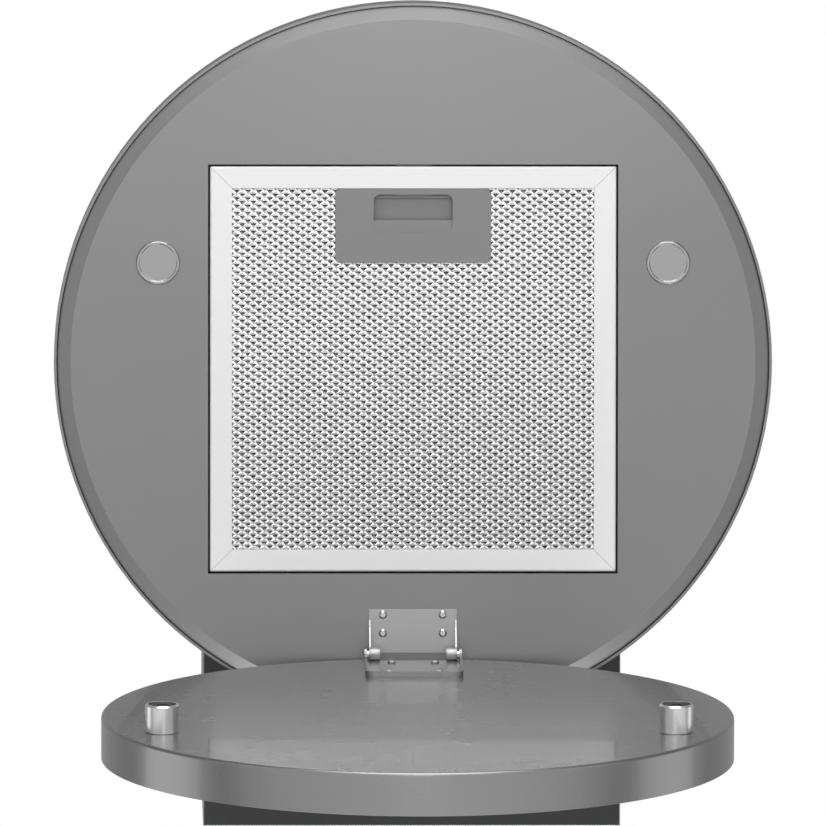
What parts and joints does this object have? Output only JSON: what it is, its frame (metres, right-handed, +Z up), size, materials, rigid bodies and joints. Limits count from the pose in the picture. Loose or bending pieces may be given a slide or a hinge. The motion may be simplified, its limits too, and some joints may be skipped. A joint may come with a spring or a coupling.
{
  "type": "island range hood",
  "caption": "Round ceiling-hung island range hood with a square mesh filter, a hinged round perimeter-suction panel with magnet catches and a telescopic column.",
  "frame": {"origin": "centre of the ceiling bolt pattern, on the upper face of the ceiling plate", "axes": "+Z up to the ceiling, +Y to the rear where the panel's hinge is, +X to the right of a user who stands in front; the canopy's axis is the Z axis"},
  "size_m": [0.6, 0.6951, 1.3739],
  "materials": {
    "canopy_steel": "satin stainless",
    "column_steel": "satin stainless",
    "panel_steel": "satin stainless",
    "base_steel": "dark satin",
    "polished_steel": "polished",
    "screw_steel": "bright",
    "zinc_steel": "zinc plated",
    "filter_alu": "bright anodised",
    "mesh_alu": "expanded mesh",
    "handle_grey": "satin grey",
    "grey_plastic": "moulded",
    "black_plastic": "moulded",
    "white_plastic": "moulded",
    "black_rubber": "moulded",
    "motor_steel": "dark satin",
    "magnet_black": "ferrite",
    "button_steel": "satin"
  },
  "bodies": {
    "hood": {"canopy_shell": "canopy_steel", "canopy_face": "canopy_steel", "catch_plates": "polished_steel", "hinge_bracket": "polished_steel", "hinge_bracket_screws": "screw_steel", "hinge_pins": "polished_steel", "column_base_plate": "base_steel", "chimney_lower_front": "column_steel", "chimney_lower_rear": "column_steel", "chimney_screws": "screw_steel", "ceiling_plate": "zinc_steel", "frame_uprights_upper": "zinc_steel", "frame_uprights_lower": "zinc_steel", "frame_braces": "zinc_steel", "frame_bolts": "screw_steel", "fan_box": "zinc_steel", "scroll_left": "grey_plastic", "scroll_right": "grey_plastic", "inlet_rings": "black_plastic", "motor_bracket": "zinc_steel", "motor_mounts": "black_rubber", "motor_body": "motor_steel", "motor_bearings": "screw_steel", "outlet_elbow": "zinc_steel", "outlet_collar": "grey_plastic", "flap_pin": "screw_steel", "capacitor": "white_plastic", "junction_box": "white_plastic", "cable_gland": "black_plastic", "control_box": "grey_plastic", "button_bezel": "black_plastic"},
    "panel": {"panel_tray": "panel_steel", "panel_cover": "panel_steel", "panel_stiffener": "zinc_steel", "hinge_leaf": "polished_steel", "hinge_leaf_screws": "screw_steel", "magnet_studs": "panel_steel", "magnets": "magnet_black", "stud_screws": "screw_steel"},
    "filter": {"filter_frame": "filter_alu", "filter_mesh_front": "mesh_alu", "filter_core": "mesh_alu", "filter_mesh_back": "mesh_alu", "filter_handle": "handle_grey", "filter_lugs": "screw_steel", "latch_spring": "screw_steel"},
    "latch": {"filter_latch": "handle_grey"},
    "fan_wheel": {"impeller": "grey_plastic", "motor_shaft": "screw_steel"},
    "front_flap": {"flap_front": "grey_plastic"},
    "rear_flap": {"flap_rear": "grey_plastic"},
    "off_button": {"button_off": "button_steel"},
    "low_button": {"button_low": "button_steel"},
    "medium_button": {"button_medium": "button_steel"},
    "high_button": {"button_high": "button_steel"},
    "upper_chimney": {"chimney_upper_front": "column_steel", "chimney_upper_rear": "column_steel"}
  },
  "joints": [
    {"name": "panel_swing", "type": "hinge", "parent": "hood", "child": "panel", "pos_m": [0, 0.243, -0.87], "axis": [1, 0, 0], "range_deg": [-95.5, 0]},
    {"name": "filter_swing", "type": "hinge", "parent": "hood", "child": "filter", "pos_m": [0, 0.1768, -0.8492], "axis": [1, 0, 0], "range_deg": [0, 75]},
    {"name": "latch_slide", "type": "slide", "parent": "filter", "child": "latch", "axis": [0, 1, 0], "range_m": [0, 0.006], "stiffness_N_per_m": 150, "deforming": ["latch_spring"]},
    {"name": "fan_spin", "type": "hinge", "parent": "hood", "child": "fan_wheel", "pos_m": [0, 0, -0.678], "axis": [1, 0, 0], "continuous": true},
    {"name": "front_flap_swing", "type": "hinge", "parent": "hood", "child": "front_flap", "pos_m": [0, 0.206, -0.498], "axis": [-1, 0, 0], "range_deg": [0, 78]},
    {"name": "rear_flap_swing", "type": "hinge", "parent": "hood", "child": "rear_flap", "pos_m": [0, 0.206, -0.498], "axis": [1, 0, 0], "range_deg": [0, 78]},
    {"name": "off_press", "type": "slide", "parent": "hood", "child": "off_button", "axis": [0, 1, 0], "range_m": [0, 0.0025], "stiffness_N_per_m": 300},
    {"name": "low_press", "type": "slide", "parent": "hood", "child": "low_button", "axis": [0, 1, 0], "range_m": [0, 0.0025], "stiffness_N_per_m": 300},
    {"name": "medium_press", "type": "slide", "parent": "hood", "child": "medium_button", "axis": [0, 1, 0], "range_m": [0, 0.0025], "stiffness_N_per_m": 300},
    {"name": "high_press", "type": "slide", "parent": "hood", "child": "high_button", "axis": [0, 1, 0], "range_m": [0, 0.0025], "stiffness_N_per_m": 300},
    {"name": "chimney_slide", "type": "slide", "parent": "hood", "child": "upper_chimney", "axis": [0, 0, 1], "range_m": [-0.25, 0]}
  ]
}
